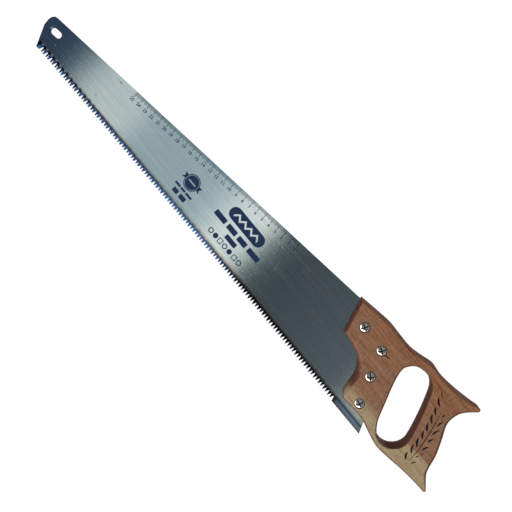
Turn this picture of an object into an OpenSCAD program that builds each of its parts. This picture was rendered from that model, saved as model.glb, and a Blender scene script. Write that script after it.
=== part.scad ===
// Panel saw with a closed wooden handle, lying flat on the handle's lower face.
// X runs from toe to heel along the teeth, Y from the teeth to the back, Z up.
// All outlines are drawn from the heel's lower corner, then moved so that the
// origin is at the middle of the bottom of the saw's bounding box.

/* [Blade] */
// Thickness of the steel plate
blade_t = 0.9; // [0.7:0.1:1.2]
// Length of the lower edge, from the toe's corner to the heel's corner
edge_length = 573; // [540:1:600]
// Height of the back above the heel strip's lower edge, at the toe's corner
back_height = 39.3; // [37:0.1:42]
// Angle between the back and the line of the teeth
taper = 7.57; // [6.5:0.01:8]
// How far the heel leans forward of square
heel_lean = 30; // [20:1:40]
// Length of the hang slot near the toe
slot_length = 13.5; // [12:0.1:15]
// Width of the hang slot
slot_width = 7.4; // [6:0.1:8]
// How far the middle of the hang slot is behind the toe's corner
slot_inset = 5; // [3:0.1:8]
// Height of the middle of the hang slot above the heel strip's lower edge
slot_rise = 26.2; // [24:0.1:28]

/* [Teeth] */
// Number of small teeth, not counting the wide one at the toe
teeth = 127; // [100:1:140]
// Depth of a tooth
tooth_depth = 5.4; // [3:0.1:6]
// How much shallower the teeth are a third of the way along the edge
shallower = 0.9; // [0:0.1:1.5]
// Width of the flat at the bottom of a gullet
gullet_flat = 0.5; // [0.3:0.1:1]
// Pitch at the toe as a share of the pitch at the heel
pitch_ratio = 0.93; // [0.85:0.01:1]
// How far the tips at the toe stand below the heel strip's lower edge
toe_drop = 1.3; // [0:0.1:2]
// How far the tips at the heel stand above the heel strip's lower edge
heel_rise = 0.3; // [0:0.1:1]
// Hollow of the tooth line at its middle
tooth_hollow = 1.2; // [0:0.1:2]
// Width of the wide tooth at the toe
toe_tooth = 6; // [5:0.1:8]
// Width of the flat tip of the wide tooth
toe_flat = 4.6; // [0:0.1:5]
// Length of the strip at the heel that has no teeth
strip_length = 48.8; // [40:0.1:60]

/* [Handle] */
// Thickness of the wood
handle_t = 24; // [20:1:28]
// Play of the blade in its sawn kerf, on each face
kerf_play = 0.1; // [0.05:0.05:0.2]
// Steps in each span of a curve
curve_steps = 6; // [4:1:10]

/* [Fasteners] */
// Diameter of a screw's domed head
head_d = 10.8; // [10:0.1:12]
// Height of the head's rim
rim_h = 1.2; // [0.8:0.1:1.6]
// Height of the dome above the rim
dome_h = 1.9; // [1.2:0.1:2.4]
// Diameter of the screw's shank
shank_d = 4; // [3:0.5:5]
// Width of the cross recess's slots
cross_w = 1.5; // [1:0.1:2]
// Length of the cross recess's slots
cross_l = 7.4; // [5:0.1:7.5]
// Depth of the cross recess
cross_depth = 2; // [1:0.1:2.4]
// Diameter of a nut's sleeve
sleeve_d = 7; // [6:0.5:8]
// Diameter of a nut's flat head
nut_d = 12; // [10:0.5:12.5]
// Thickness of a nut's flat head
nut_h = 2.2; // [1.5:0.1:3]
// Width of the slot across a nut's head
nut_slot_w = 1.4; // [1:0.1:2]
// Depth of a screw head's counterbore
head_sink = 1.8; // [1:0.1:2.4]
// Depth of a nut head's counterbore
nut_sink = 2.5; // [2.3:0.1:3.5]

/* [Hidden] */
$fn = 64;

wood = "#8f6547";
steel = "#8d9a9b";
nickel = "#c9c6bd";

// Radial play of the hardware in the wood and of the shank in its sleeve
bore_play = 0.3;
shank_play = 0.1;
// Shortening of each end of the shank and the sleeve
sleeve_end_gap = 5;
shank_end_gap = 5;
nut_slot_depth = 1;
through = 1;

mid_z = handle_t / 2;
kerf_t = blade_t + 2 * kerf_play;

// Screw centres, from the toe side of the cheek to the heel
screw_at = [[-92.3, 83.4], [-60.4, 81.1], [-45.3, 52.8], [-29.5, 24.4]];

// ---- Curves ----

// Point at t between p1 and p2 on the curve through p0, p1, p2 and p3
function span_point(p0, p1, p2, p3, t) =
    0.5 * (2 * p1 + (p2 - p0) * t
           + (2 * p0 - 5 * p1 + 4 * p2 - p3) * t * t
           + (3 * p1 - p0 - 3 * p2 + p3) * t * t * t);

// Open curve through the points of p, without its last point
function curve(p) =
    let (last = len(p) - 1)
    [for (i = [0 : last - 1], k = [0 : curve_steps - 1])
        span_point(p[max(i - 1, 0)], p[i], p[i + 1], p[min(i + 2, last)], k / curve_steps)];

// Closed curve through the points of p
function loop_curve(p) =
    let (n = len(p))
    [for (i = [0 : n - 1], k = [0 : curve_steps - 1])
        span_point(p[(i + n - 1) % n], p[i], p[(i + 1) % n], p[(i + 2) % n], k / curve_steps)];

function xs(p) = [for (q = p) q.x];
function ys(p) = [for (q = p) q.y];

// ---- Blade outline ----

toe_x = -edge_length;
// Height of the straight back at a place along the saw
function back_y(x) = back_height + (x - toe_x) * tan(taper);

// The toe: a straight lower front, then a tightening round into the back
toe_round = [
    [toe_x - 12, 22],
    [toe_x - 13, 30],
    [toe_x - 12, 34.6],
    [toe_x - 9.6, 37.4],
    [toe_x - 6.5, back_y(toe_x - 6.5)]
];

// The tang, hidden in the kerf: its top corner, then its rear edge down to the heel
tang = [
    [-78, back_y(-78)],
    [-56, 96],
    [-44, 84],
    [-33, 60],
    [-16, 32]
];
heel_top = 22;

first_tooth_x = toe_x + toe_tooth;
strip_x = -strip_length;
// The strip's front end slants back to the last gullet
strip_slant = 2.4;
tooth_run = strip_x - strip_slant - first_tooth_x;
toe_pitch = 2 * tooth_run / teeth * pitch_ratio / (1 + pitch_ratio);
heel_pitch = toe_pitch / pitch_ratio;

// Start of tooth k, with the pitch growing evenly from toe to heel
function tooth_x(k) =
    first_tooth_x + k * toe_pitch + (heel_pitch - toe_pitch) * k * k / (2 * teeth);
// Height of the tooth tips at a place along the saw
function tip_y(x) =
    let (s = (x - toe_x) / (strip_x - toe_x))
    -toe_drop + (toe_drop + heel_rise) * s + 4 * tooth_hollow * s * (1 - s);

// Height of a gullet; the shallowing is a cubic whose peak, 4/27, is a third of the way along
function gullet_y(x) =
    let (s = (x - toe_x) / (strip_x - toe_x))
    tip_y(x) + tooth_depth - shallower * 27 / 4 * s * (1 - s) * (1 - s);

function tooth(k) =
    let (a = tooth_x(k), b = tooth_x(k + 1), m = (a + b) / 2)
    [[a + gullet_flat / 2, gullet_y(a)],
     [m, tip_y(m)],
     [b - gullet_flat / 2, gullet_y(b)]];

blade_outline = concat(
    [[toe_x, -toe_drop], [toe_x + toe_flat, -toe_drop]],
    [for (k = [0 : teeth - 1]) each tooth(k)],
    [[strip_x, 0], [0, 0]],
    [[-heel_top * tan(heel_lean), heel_top]],
    [for (i = [len(tang) - 1 : -1 : 0]) tang[i]],
    [for (i = [len(toe_round) - 1 : -1 : 1]) toe_round[i]],
    [toe_round[0]]
);

// ---- Handle outline ----

// Slanted front edge, from the top corner to the nose
front_edge = [[-119, 101.2], [-102.5, 62]];
// Hollow of the cheek, from the nose to the lower edge
cheek_hollow = [
    [-102.5, 62], [-96, 61.6], [-86, 60.1], [-76.6, 57.5], [-68.2, 53],
    [-61.8, 46.8], [-57.6, 40.2], [-54.9, 32.3], [-52, 22.2], [-49, 16],
    [-45, 13.8], [-41, 13.8]
];
// Lower edge, with its dip under the hand hole, to the lower horn
lower_edge = [
    [-41, 13.8], [-30, 14.8], [-19.8, 15.3], [-9, 14], [5.6, 10.4],
    [21, 7.8], [37.5, 9.6], [60, 13.2], [80, 15.2], [92.4, 15.9]
];
// Rear edge, from the lower horn round the hollow of the hand to the upper horn
rear_edge = [
    [92.4, 15.9], [94.2, 17.6], [92, 20.2], [80.2, 30.3], [75.7, 37.4],
    [69.1, 53], [59, 69.4], [49.2, 84], [47.3, 95.6], [49.5, 106],
    [56.8, 117.6]
];
// Upper horn and the wavy top edge, back to the front corner
top_edge = [
    [56.8, 117.6], [59.2, 121], [56.4, 123.9], [44.5, 120.4], [28.8, 116.9],
    [12, 114.4], [0.7, 114.1], [-11.7, 115.2], [-27.3, 110.6], [-41.7, 107.5],
    [-59, 107.6], [-76.5, 107.9], [-91.2, 105.9], [-119, 101.2]
];
handle_outline = concat(
    [front_edge[0]],
    curve(cheek_hollow),
    curve(lower_edge),
    curve(rear_edge),
    curve(top_edge)
);

// Hand hole, from its upper left end clockwise
hand_hole = [
    [-29.6, 85], [-28.1, 92.6], [-22.6, 99.7], [-13.4, 102.9], [-4, 102.8],
    [4.1, 99], [10.2, 92], [20.5, 74.1], [29.4, 56.1], [35.8, 41],
    [37, 33.8], [35.2, 26], [29, 18.2], [20, 14.5], [10.6, 16.6],
    [-0.9, 27.3], [-11.6, 46.2], [-24.4, 70.3]
];

// ---- Placing ----

all_x = concat(xs(blade_outline), xs(handle_outline));
all_y = concat(ys(blade_outline), ys(handle_outline));
middle = [(min(all_x) + max(all_x)) / 2, (min(all_y) + max(all_y)) / 2];

module placed() {
    translate([-middle.x, -middle.y, 0])
        children();
}

module at_screw(i) {
    translate([screw_at[i - 1].x, screw_at[i - 1].y, 0])
        children();
}

// ---- Blade ----

module hang_slot() {
    half = (slot_length - slot_width) / 2;
    translate([toe_x + slot_inset, slot_rise, mid_z])
        rotate([0, 0, taper]) {
            for (side = [-1, 1])
                translate([side * half, 0, 0])
                    cylinder(d = slot_width, h = blade_t + 2 * through, center = true);
            cube([2 * half, slot_width, blade_t + 2 * through], center = true);
        }
}

module blade() {
    color(steel)
        placed()
            difference() {
                translate([0, 0, mid_z - blade_t / 2])
                    linear_extrude(height = blade_t)
                        polygon(blade_outline);
                hang_slot();
                for (i = [1 : 4])
                    at_screw(i)
                        cylinder(d = sleeve_d + bore_play, h = handle_t);
            }
}

// ---- Handle ----

// Gap between the tang's edge and the end of the kerf
tang_play = 0.8;
// Where the kerf's cut ends: in front of the wood, below it and behind the heel
kerf_front = -140;
kerf_below = -4;
kerf_behind = 12;

// Sawn kerf: the tang's space, run out past the wood at the front and below
module kerf() {
    inner = [for (p = tang) [p.x + tang_play, p.y + tang_play]];
    translate([0, 0, mid_z - kerf_t / 2])
        linear_extrude(height = kerf_t)
            polygon(concat(
                [[kerf_front, back_y(kerf_front) + tang_play]],
                inner,
                [[-heel_top * tan(heel_lean) + kerf_behind - tang_play, heel_top + tang_play]],
                [[kerf_behind, kerf_below], [kerf_front, kerf_below]]
            ));
}

module screw_bores() {
    for (i = [1 : 4])
        at_screw(i) {
            translate([0, 0, -through])
                cylinder(d = sleeve_d + bore_play, h = handle_t + 2 * through);
            translate([0, 0, handle_t - head_sink])
                cylinder(d = head_d + 3 * bore_play, h = head_sink + through);
            translate([0, 0, -through])
                cylinder(d = nut_d + 2 * bore_play, h = nut_sink + through);
        }
}

module handle() {
    color(wood)
        placed()
            difference() {
                linear_extrude(height = handle_t)
                    difference() {
                        polygon(handle_outline);
                        polygon(loop_curve(hand_hole));
                    }
                kerf();
                screw_bores();
            }
}

// ---- Fasteners ----

// Domed head with a cross recess, and a plain shank that stands for the thread
module screw(i) {
    seat_z = handle_t - head_sink;
    top_z = seat_z + rim_h + dome_h;
    dome_r = (head_d * head_d / 4 + dome_h * dome_h) / (2 * dome_h);
    color(nickel)
        placed()
            at_screw(i)
                difference() {
                    union() {
                        translate([0, 0, seat_z])
                            cylinder(d = head_d, h = rim_h);
                        translate([0, 0, seat_z + rim_h])
                            rotate_extrude()
                                intersection() {
                                    translate([0, dome_h - dome_r])
                                        circle(r = dome_r, $fn = 180);
                                    square([head_d / 2, dome_h]);
                                }
                        translate([0, 0, shank_end_gap])
                            cylinder(d = shank_d, h = seat_z - shank_end_gap);
                    }
                    for (turn = [0, 90])
                        translate([0, 0, top_z])
                            rotate([0, 0, turn])
                                cube([cross_l, cross_w, 2 * cross_depth], center = true);
                }
}

// Flat slotted head with a sleeve that passes through the blade
module nut(i) {
    bottom_z = nut_sink - nut_h;
    color(nickel)
        placed()
            at_screw(i)
                difference() {
                    union() {
                        translate([0, 0, bottom_z])
                            cylinder(d = nut_d, h = nut_h);
                        translate([0, 0, nut_sink])
                            cylinder(d = sleeve_d,
                                     h = handle_t - head_sink - sleeve_end_gap - nut_sink);
                    }
                    translate([0, 0, shank_end_gap - through])
                        cylinder(d = shank_d + 2 * shank_play, h = handle_t);
                    translate([0, 0, bottom_z])
                        cube([nut_d + through, nut_slot_w, 2 * nut_slot_depth], center = true);
                }
}

blade();
handle();
for (i = [1 : 4]) {
    screw(i);
    nut(i);
}
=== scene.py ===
import math
from functools import partialmethod

import bmesh
import bpy
import numpy as np
from mathutils import Matrix, Vector
from mathutils.geometry import delaunay_2d_cdt, tessellate_polygon


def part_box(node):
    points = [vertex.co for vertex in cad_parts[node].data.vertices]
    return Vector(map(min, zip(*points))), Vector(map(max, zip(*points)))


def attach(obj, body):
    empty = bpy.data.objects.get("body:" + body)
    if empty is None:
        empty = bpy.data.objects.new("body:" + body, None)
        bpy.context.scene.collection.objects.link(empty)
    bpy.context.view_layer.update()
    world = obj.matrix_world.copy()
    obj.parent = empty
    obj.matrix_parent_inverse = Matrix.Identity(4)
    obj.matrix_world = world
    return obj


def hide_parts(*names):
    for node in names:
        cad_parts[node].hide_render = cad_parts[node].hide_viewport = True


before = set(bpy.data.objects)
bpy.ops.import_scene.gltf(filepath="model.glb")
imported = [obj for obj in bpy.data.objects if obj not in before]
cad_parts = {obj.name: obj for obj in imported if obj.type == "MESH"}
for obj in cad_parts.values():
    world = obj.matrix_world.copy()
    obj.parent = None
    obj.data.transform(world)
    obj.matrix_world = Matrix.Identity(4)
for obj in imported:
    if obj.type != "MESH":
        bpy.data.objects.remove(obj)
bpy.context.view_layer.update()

# Panel saw with a closed carved handle, lying on the handle's lower face.
# Shapes are drawn in millimetres from the heel's lower corner: x along the teeth towards the
# heel, y from the teeth to the back, z up from the handle's lower face.

MM = 0.001
BLADE_LO, BLADE_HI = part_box("blade")
_, HANDLE_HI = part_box("handle")
TOE_DROP = 1.3
HEEL = np.array([BLADE_HI.x, BLADE_LO.y + TOE_DROP * MM, 0.0])
Z_TOP = BLADE_HI.z / MM
Z_BOTTOM = BLADE_LO.z / MM
WOOD_TOP = HANDLE_HI.z / MM

# ---- outlines

BACK_TURN = math.radians(7.57)
ALONG_BACK = np.array([math.cos(BACK_TURN), math.sin(BACK_TURN)])
INWARD = np.array([math.sin(BACK_TURN), -math.cos(BACK_TURN)])
TAPER = math.tan(BACK_TURN)
TOE_X = -573.0
BACK_AT_TOE = 39.3
TOE_CURVE_END = TOE_X - 6.5
HEEL_TOP = 22
HEEL_LEAN = math.tan(math.radians(30))
STRIP_X = -48.8
FIRST_GULLET_X = TOE_X + 6.0
LAST_GULLET_X = STRIP_X - 2.4
TEETH = 127
TOOTH_DEPTH = 5.4
# How much shallower the teeth are a third of the way along the edge
SHALLOWER = 0.9
# How far the line of the tips bows out at its middle, and how high it ends at the strip
TIP_BOW = 1.2
TIP_RISE = 0.3
TOOTH_SET = 0.28
# The first pitch as a share of the last one; each pitch grows by the same step
PITCH_RATIO = 0.93
FIRST_PITCH = 2 * (LAST_GULLET_X - FIRST_GULLET_X) / TEETH * PITCH_RATIO / (1 + PITCH_RATIO)
PITCH_GROWTH = FIRST_PITCH * (1 / PITCH_RATIO - 1) / TEETH
TOE_FLAT = 4.6
HANG_SLOT = (TOE_X + 5.0, 26.2)
SLOT_LENGTH = 13.5
SLOT_WIDTH = 7.4
BLADE_HOLE = 3.65
SCREW_AT = [(-92.3, 83.4), (-60.4, 81.1), (-45.3, 52.8), (-29.5, 24.4)]
# How far each screw's cross is turned, in degrees
SCREW_TURNS = [20, 28, 40, 16]

FRONT_EDGE = [(-119, 101.2), (-102.5, 62)]
CHEEK_HOLLOW = [
    (-102.5, 62), (-96, 61.6), (-86, 60.1), (-76.6, 57.5), (-68.2, 53), (-61.8, 46.8),
    (-57.6, 40.2), (-54.9, 32.3), (-52, 22.2), (-49, 16), (-45, 13.8), (-41, 13.8)]
LOWER_EDGE = [
    (-41, 13.8), (-30, 14.8), (-19.8, 15.3), (-9, 14), (5.6, 10.4), (21, 7.8), (37.5, 9.6),
    (60, 13.2), (80, 15.2), (92.4, 15.9)]
REAR_EDGE = [
    (92.4, 15.9), (94.2, 17.6), (92, 20.2), (80.2, 30.3), (75.7, 37.4), (69.1, 53),
    (59, 69.4), (49.2, 84), (47.3, 95.6), (49.5, 106), (56.8, 117.6)]
TOP_EDGE = [
    (56.8, 117.6), (59.2, 121), (56.4, 123.9), (44.5, 120.4), (28.8, 116.9), (12, 114.4),
    (0.7, 114.1), (-11.7, 115.2), (-27.3, 110.6), (-41.7, 107.5), (-59, 107.6),
    (-76.5, 107.9), (-91.2, 105.9), (-119, 101.2)]
HAND_HOLE = [
    (-29.6, 85), (-28.1, 92.6), (-22.6, 99.7), (-13.4, 102.9), (-4, 102.8), (4.1, 99),
    (10.2, 92), (20.5, 74.1), (29.4, 56.1), (35.8, 41), (37, 33.8), (35.2, 26),
    (29, 18.2), (20, 14.5), (10.6, 16.6), (-0.9, 27.3), (-11.6, 46.2), (-24.4, 70.3)]


def span(p0, p1, p2, p3, t):
    """Point at t between p1 and p2 on the smooth curve through the four points."""
    return 0.5 * (2 * p1 + (p2 - p0) * t + (2 * p0 - 5 * p1 + 4 * p2 - p3) * t ** 2
                  + (3 * p1 - p0 - 3 * p2 + p3) * t ** 3)


def even(points, spacing):
    """The polyline with evenly spaced points, without its last one."""
    points = np.array(points, float)
    run = np.concatenate([[0], np.cumsum(np.linalg.norm(np.diff(points, axis=0), axis=1))])
    count = max(2, round(run[-1] / spacing))
    at = np.linspace(0, run[-1], count + 1)[:-1]
    return np.stack([np.interp(at, run, points[:, k]) for k in (0, 1)], axis=1)


def smooth_run(points, spacing, closed=False):
    p = np.array(points, float)
    n = len(p)
    t = np.linspace(0, 1, 24, endpoint=False)[:, None]
    out = []
    for i in range(n if closed else n - 1):
        if closed:
            four = [p[(i + k) % n] for k in (-1, 0, 1, 2)]
        else:
            four = [p[max(i - 1, 0)], p[i], p[i + 1], p[min(i + 2, n - 1)]]
        out.append(span(*four, t))
    out.append(p[:1] if closed else p[-1:])
    return even(np.concatenate(out), spacing)


def softened(loop, keep, passes):
    """Closed loop with its small kinks eased; points near the kept corners stay."""
    held = np.zeros(len(loop), bool)
    for corner in keep:
        held |= np.linalg.norm(loop - np.array(corner), axis=1) < 0.5
    for _ in range(passes):
        eased = 0.5 * loop + 0.25 * (np.roll(loop, 1, axis=0) + np.roll(loop, -1, axis=0))
        loop = np.where(held[:, None], loop, eased)
    return loop


def circle(x, y, radius, count, clockwise=False):
    turn = np.linspace(0, 2 * math.pi, count, endpoint=False) * (-1 if clockwise else 1)
    return np.stack([x + radius * np.cos(turn), y + radius * np.sin(turn)], axis=1)


def mitres(loop):
    """Outward mitre vectors of a closed loop that has its material on the left."""
    step = np.roll(loop, -1, axis=0) - loop
    step /= np.maximum(np.linalg.norm(step, axis=1, keepdims=True), 1e-9)
    normal = np.stack([step[:, 1], -step[:, 0]], axis=1)
    before = np.roll(normal, 1, axis=0)
    spread = 1 + (normal * before).sum(axis=1, keepdims=True)
    return (normal + before) / np.maximum(spread, 0.5)


def distance_to(points, loop):
    """Distance of each point from a closed loop."""
    best = np.full(len(points), 1e9)
    for a, b in zip(loop, np.roll(loop, -1, axis=0)):
        ab = b - a
        t = np.clip(((points - a) @ ab) / max(ab @ ab, 1e-12), 0, 1)
        best = np.minimum(best, np.linalg.norm(points - (a + t[:, None] * ab), axis=1))
    return best


def inside(points, loop):
    """Whether each point is inside a closed loop."""
    hit = np.zeros(len(points), bool)
    x, y = points.T
    for (ax, ay), (bx, by) in zip(loop, np.roll(loop, -1, axis=0)):
        if ay != by:
            hit ^= ((ay > y) != (by > y)) & (x < ax + (y - ay) * (bx - ax) / (by - ay))
    return hit


# ---- meshes

def add_object(name, data):
    obj = bpy.data.objects.new(name, data)
    bpy.context.scene.collection.objects.link(obj)
    return obj


def add_mesh(name, points, faces, materials, face_materials=None, crease=30.0):
    mesh = bpy.data.meshes.new(name)
    placed = np.asarray(points, float) * MM + HEEL
    mesh.from_pydata(placed.tolist(), [], [[int(i) for i in f] for f in faces])
    for material in materials:
        mesh.materials.append(material)
    if face_materials is not None:
        mesh.polygons.foreach_set("material_index", np.array(face_materials, dtype=np.int32))
    weld(mesh)
    shade(mesh, crease)
    return add_object(name, mesh)


def weld(mesh):
    bm = bmesh.new()
    bm.from_mesh(mesh)
    bmesh.ops.remove_doubles(bm, verts=bm.verts, dist=1.5e-6)
    bmesh.ops.dissolve_degenerate(bm, edges=bm.edges, dist=1e-7)
    bm.to_mesh(mesh)
    bm.free()


def shade(mesh, crease):
    mesh.polygons.foreach_set("use_smooth", [True] * len(mesh.polygons))
    mesh.set_sharp_from_angle(angle=math.radians(crease))
    mesh.update()


def plan_uv(obj):
    """UV map in plan, with its tangent across the grinding lines."""
    layer = obj.data.uv_layers.new(name="plan")
    for loop in obj.data.loops:
        co = obj.data.vertices[loop.vertex_index].co
        layer.data[loop.index].uv = (co.y * 5 + 0.5, co.x + 0.5)


def subtract(obj, cutter):
    """Cuts cutter from obj; the cut faces keep the cutter's materials."""
    modifier = obj.modifiers.new("cut", "BOOLEAN")
    modifier.operation = "DIFFERENCE"
    modifier.solver = "EXACT"
    modifier.material_mode = "TRANSFER"
    modifier.object = cutter
    bpy.context.view_layer.update()
    graph = bpy.context.evaluated_depsgraph_get()
    made = bpy.data.meshes.new_from_object(obj.evaluated_get(graph))
    obj.modifiers.clear()
    old, obj.data = obj.data, made
    bpy.data.meshes.remove(old)
    bpy.data.objects.remove(cutter)


def triangles(loops):
    """Triangles that fill the first loop and leave out the others, facing up."""
    flat = [Vector((x, y, 0)) for loop in loops for x, y in loop]
    found = tessellate_polygon([[Vector((x, y, 0)) for x, y in loop] for loop in loops])
    out = []
    for a, b, c in found:
        turn = (flat[b] - flat[a]).cross(flat[c] - flat[a]).z
        out.append((a, b, c) if turn > 0 else (a, c, b))
    return out


def level(xy, z):
    xy = np.asarray(xy, float)
    return np.column_stack([xy, np.broadcast_to(z, len(xy))])


def skin(rings):
    """Points and faces of a tube through rings of equal length, closed by fans at its ends."""
    n = len(rings[0])
    faces = []
    for k in range(len(rings) - 1):
        for i in range(n):
            j = (i + 1) % n
            faces.append((k * n + i, k * n + j, (k + 1) * n + j, (k + 1) * n + i))
    last = (len(rings) - 1) * n
    first_hub, last_hub = last + n, last + n + 1
    faces += [(first_hub, (i + 1) % n, i) for i in range(n)]
    faces += [(last_hub, last + i, last + (i + 1) % n) for i in range(n)]
    hubs = [rings[k].mean(axis=0, keepdims=True) for k in (0, -1)]
    return np.concatenate([*rings, *hubs]), faces


def join_parts(parts):
    """Points and faces of several (points, faces) pairs as one pair."""
    points, faces, start = [], [], 0
    for some_points, some_faces in parts:
        points.append(np.asarray(some_points, float))
        faces += [tuple(i + start for i in f) for f in some_faces]
        start += len(some_points)
    return np.concatenate(points), faces


# ---- material helpers

def srgb(r, g, b):
    """Linear colour of an 8-bit screen colour."""
    return tuple(c / 12.92 if c <= 0.04045 else ((c + 0.055) / 1.055) ** 2.4
                 for c in (r / 255, g / 255, b / 255))


class Tree:
    """Short ways to add nodes to a shader tree."""

    def __init__(self, owner):
        owner.use_nodes = True
        self.tree = owner.node_tree
        self.tree.nodes.clear()

    def node(self, kind, inputs=None, **settings):
        made = self.tree.nodes.new("ShaderNode" + kind)
        for key, value in settings.items():
            setattr(made, key, value)
        for key, value in (inputs or {}).items():
            self.put(made.inputs[key], value)
        return made

    def put(self, socket, value):
        if isinstance(value, bpy.types.NodeSocket):
            self.tree.links.new(value, socket)
        elif socket.type == "RGBA":
            socket.default_value = (*value, 1.0)
        else:
            socket.default_value = value

    def math(self, operation, a, b=0.0, c=0.0):
        return self.node("Math", {0: a, 1: b, 2: c}, operation=operation).outputs[0]

    plus = partialmethod(math, "ADD")
    minus = partialmethod(math, "SUBTRACT")
    times = partialmethod(math, "MULTIPLY")
    ratio = partialmethod(math, "DIVIDE")
    most = partialmethod(math, "MAXIMUM")

    def vector(self, operation, a, b):
        return self.node("VectorMath", {0: a, 1: b}, operation=operation).outputs[0]

    def smooth(self, value, low, high, out_low=0.0, out_high=1.0):
        made = self.node(
            "MapRange",
            {"Value": value, "From Min": low, "From Max": high, "To Min": out_low, "To Max": out_high},
            interpolation_type="SMOOTHSTEP")
        return made.outputs["Result"]

    def mix(self, share, a, b, blend="MIX"):
        made = self.node("Mix", data_type="RGBA", blend_type=blend)
        self.put(made.inputs[0], share)
        self.put(made.inputs[6], a)
        self.put(made.inputs[7], b)
        return made.outputs[2]

    def ramp(self, value, stops):
        made = self.node("ValToRGB", {"Fac": value})
        elements = made.color_ramp.elements
        while len(elements) < len(stops):
            elements.new(0.5)
        for element, (position, colour) in zip(elements, stops):
            element.position = position
            element.color = (*colour, 1.0)
        return made.outputs["Color"]

    def noise(self, place, scale, detail, roughness, distortion=0.0):
        """Noise at a place; its scale is one number, or one for each axis."""
        if isinstance(scale, tuple):
            place, scale = self.vector("MULTIPLY", place, scale), 1.0
        made = self.node(
            "TexNoise",
            {"Vector": place, "Scale": scale, "Detail": detail, "Roughness": roughness,
             "Distortion": distortion})
        return made.outputs[0]

    def heel_mm(self):
        """Position from the heel's lower corner, in millimetres."""
        place = self.node("TexCoord").outputs["Object"]
        scaled = self.vector("MULTIPLY", place, (1 / MM, 1 / MM, 1 / MM))
        return self.vector("SUBTRACT", scaled, tuple(HEEL / MM))

    def split(self, vector):
        made = self.node("SeparateXYZ", {0: vector})
        return list(made.outputs)

    def bump(self, height, distance, strength):
        inputs = {"Height": height, "Distance": distance, "Strength": strength}
        return self.node("Bump", inputs).outputs[0]

    def surface(self, **inputs):
        shader = self.node("BsdfPrincipled")
        for key, value in inputs.items():
            self.put(shader.inputs[key.replace("_", " ")], value)
        out = self.node("OutputMaterial")
        self.tree.links.new(shader.outputs[0], out.inputs[0])


def new_material(name):
    material = bpy.data.materials.new(name)
    return material, Tree(material)


# ---- steel

STEEL = (0.62, 0.655, 0.66)


def steel_material():
    """Ground steel: lines along x, heat colours on the teeth and the heel strip, a few scuffs, and painted
    shade, light and glints on the teeth and at the hang slot.
    """
    material, t = new_material("blade_steel")
    place = t.heel_mm()
    x, y, _ = t.split(place)
    lines = t.noise(place, (0.014, 0.9, 0.5), 4.0, 0.7)
    broad = t.noise(place, (0.004, 0.07, 0.05), 2.0, 0.5)
    smudge = t.noise(place, (0.03, 0.05, 0.05), 3.0, 0.6, 0.6)
    specks = t.noise(place, (0.25, 0.4, 0.4), 3.0, 0.6)
    colour = t.mix(t.smooth(lines, 0.3, 0.7), (0.53, 0.565, 0.57), (0.70, 0.735, 0.735))
    colour = t.mix(t.smooth(broad, 0.3, 0.7, 0.0, 0.5), colour, (0.56, 0.63, 0.65))
    colour = t.mix(t.smooth(smudge, 0.60, 0.72, 0.0, 0.45), colour, (0.68, 0.68, 0.63))
    colour = t.mix(t.smooth(specks, 0.68, 0.76, 0.0, 0.3), colour, (0.40, 0.42, 0.40))
    tint, oxide, deep, scale = heat_colours(t, x, y)
    colour = t.mix(1.0, colour, tint, "MULTIPLY")
    # Blue oxide on the teeth is real. Its bright blue on every other tooth near the toe is painted light,
    # and the pale spots in it are painted glints.
    blue_tone_and_painted_glint = t.noise(place, (0.5, 0.5, 0.5), 2.0, 0.6)
    blue = t.mix(t.smooth(blue_tone_and_painted_glint, 0.35, 0.6), (0.04, 0.16, 0.38), (0.08, 0.27, 0.55))
    blue = t.mix(t.smooth(blue_tone_and_painted_glint, 0.58, 0.70), blue, (0.32, 0.55, 0.75))
    blue = t.mix(deep, blue, (0.012, 0.05, 0.18))
    colour = t.mix(oxide, colour, blue)
    # Pale beige band above every other tooth near the toe: a painted highlight, kept matte so that it stays
    # bright.
    colour = t.mix(scale, colour, (0.24, 0.205, 0.175))
    colour, scuff_and_glint_cover = scuffs(t, place, colour)
    dull = t.most(scuff_and_glint_cover, t.most(oxide, scale))
    roughness = t.plus(t.smooth(lines, 0.2, 0.8, 0.07, 0.11),
                       t.smooth(smudge, 0.55, 0.8, 0.0, 0.04))
    tangent = t.node("Tangent", direction_type="UV_MAP", uv_map="plan").outputs[0]
    fine = t.noise(place, (0.05, 6.0, 1.0), 2.0, 0.5)
    t.surface(
        Base_Color=colour, Metallic=t.minus(1.0, dull),
        Roughness=roughness, Anisotropic=0.7,
        Tangent=tangent, Normal=t.bump(fine, 0.00002, 0.25))
    return material


# Pale scuffs and dark specks on the plate, and a painted glint at the left end of the hang slot: x, y,
# radius, colour
SCUFFS = [
    (-483, 19.5, 2.2, (0.62, 0.66, 0.62)), (-487.5, 40.5, 1.8, (0.50, 0.56, 0.54)),
    (-576, 26.2, 1.8, (0.22, 0.38, 0.46)), (-559, 16.5, 0.9, (0.12, 0.20, 0.30)),
    (-477.5, 47, 1.8, (0.18, 0.21, 0.21)), (-486.5, 16, 1.4, (0.20, 0.24, 0.24)),
    (-11, 10.4, 1.1, (0.05, 0.07, 0.08)), (-9, 5.5, 1.3, (0.04, 0.13, 0.17))]


def scuffs(t, place, colour):
    """The plate's colour with its scuffs and the painted glint at the hang slot, and how much of it they
    cover.
    """
    ragged = t.smooth(t.noise(place, 0.8, 4.0, 0.7), 0.25, 0.75, -0.8, 0.8)
    cover = 0.0
    for x, y, radius, tone in SCUFFS:
        away = t.node("VectorMath", {0: place, 1: (x, y, Z_TOP)}, operation="DISTANCE")
        reach = t.math("MULTIPLY_ADD", away.outputs["Value"], 1 / radius, ragged)
        share = t.smooth(reach, 1.1, 0.3, 0.0, 0.7)
        colour = t.mix(share, colour, tone)
        cover = t.most(share, cover)
    return colour, cover


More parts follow.
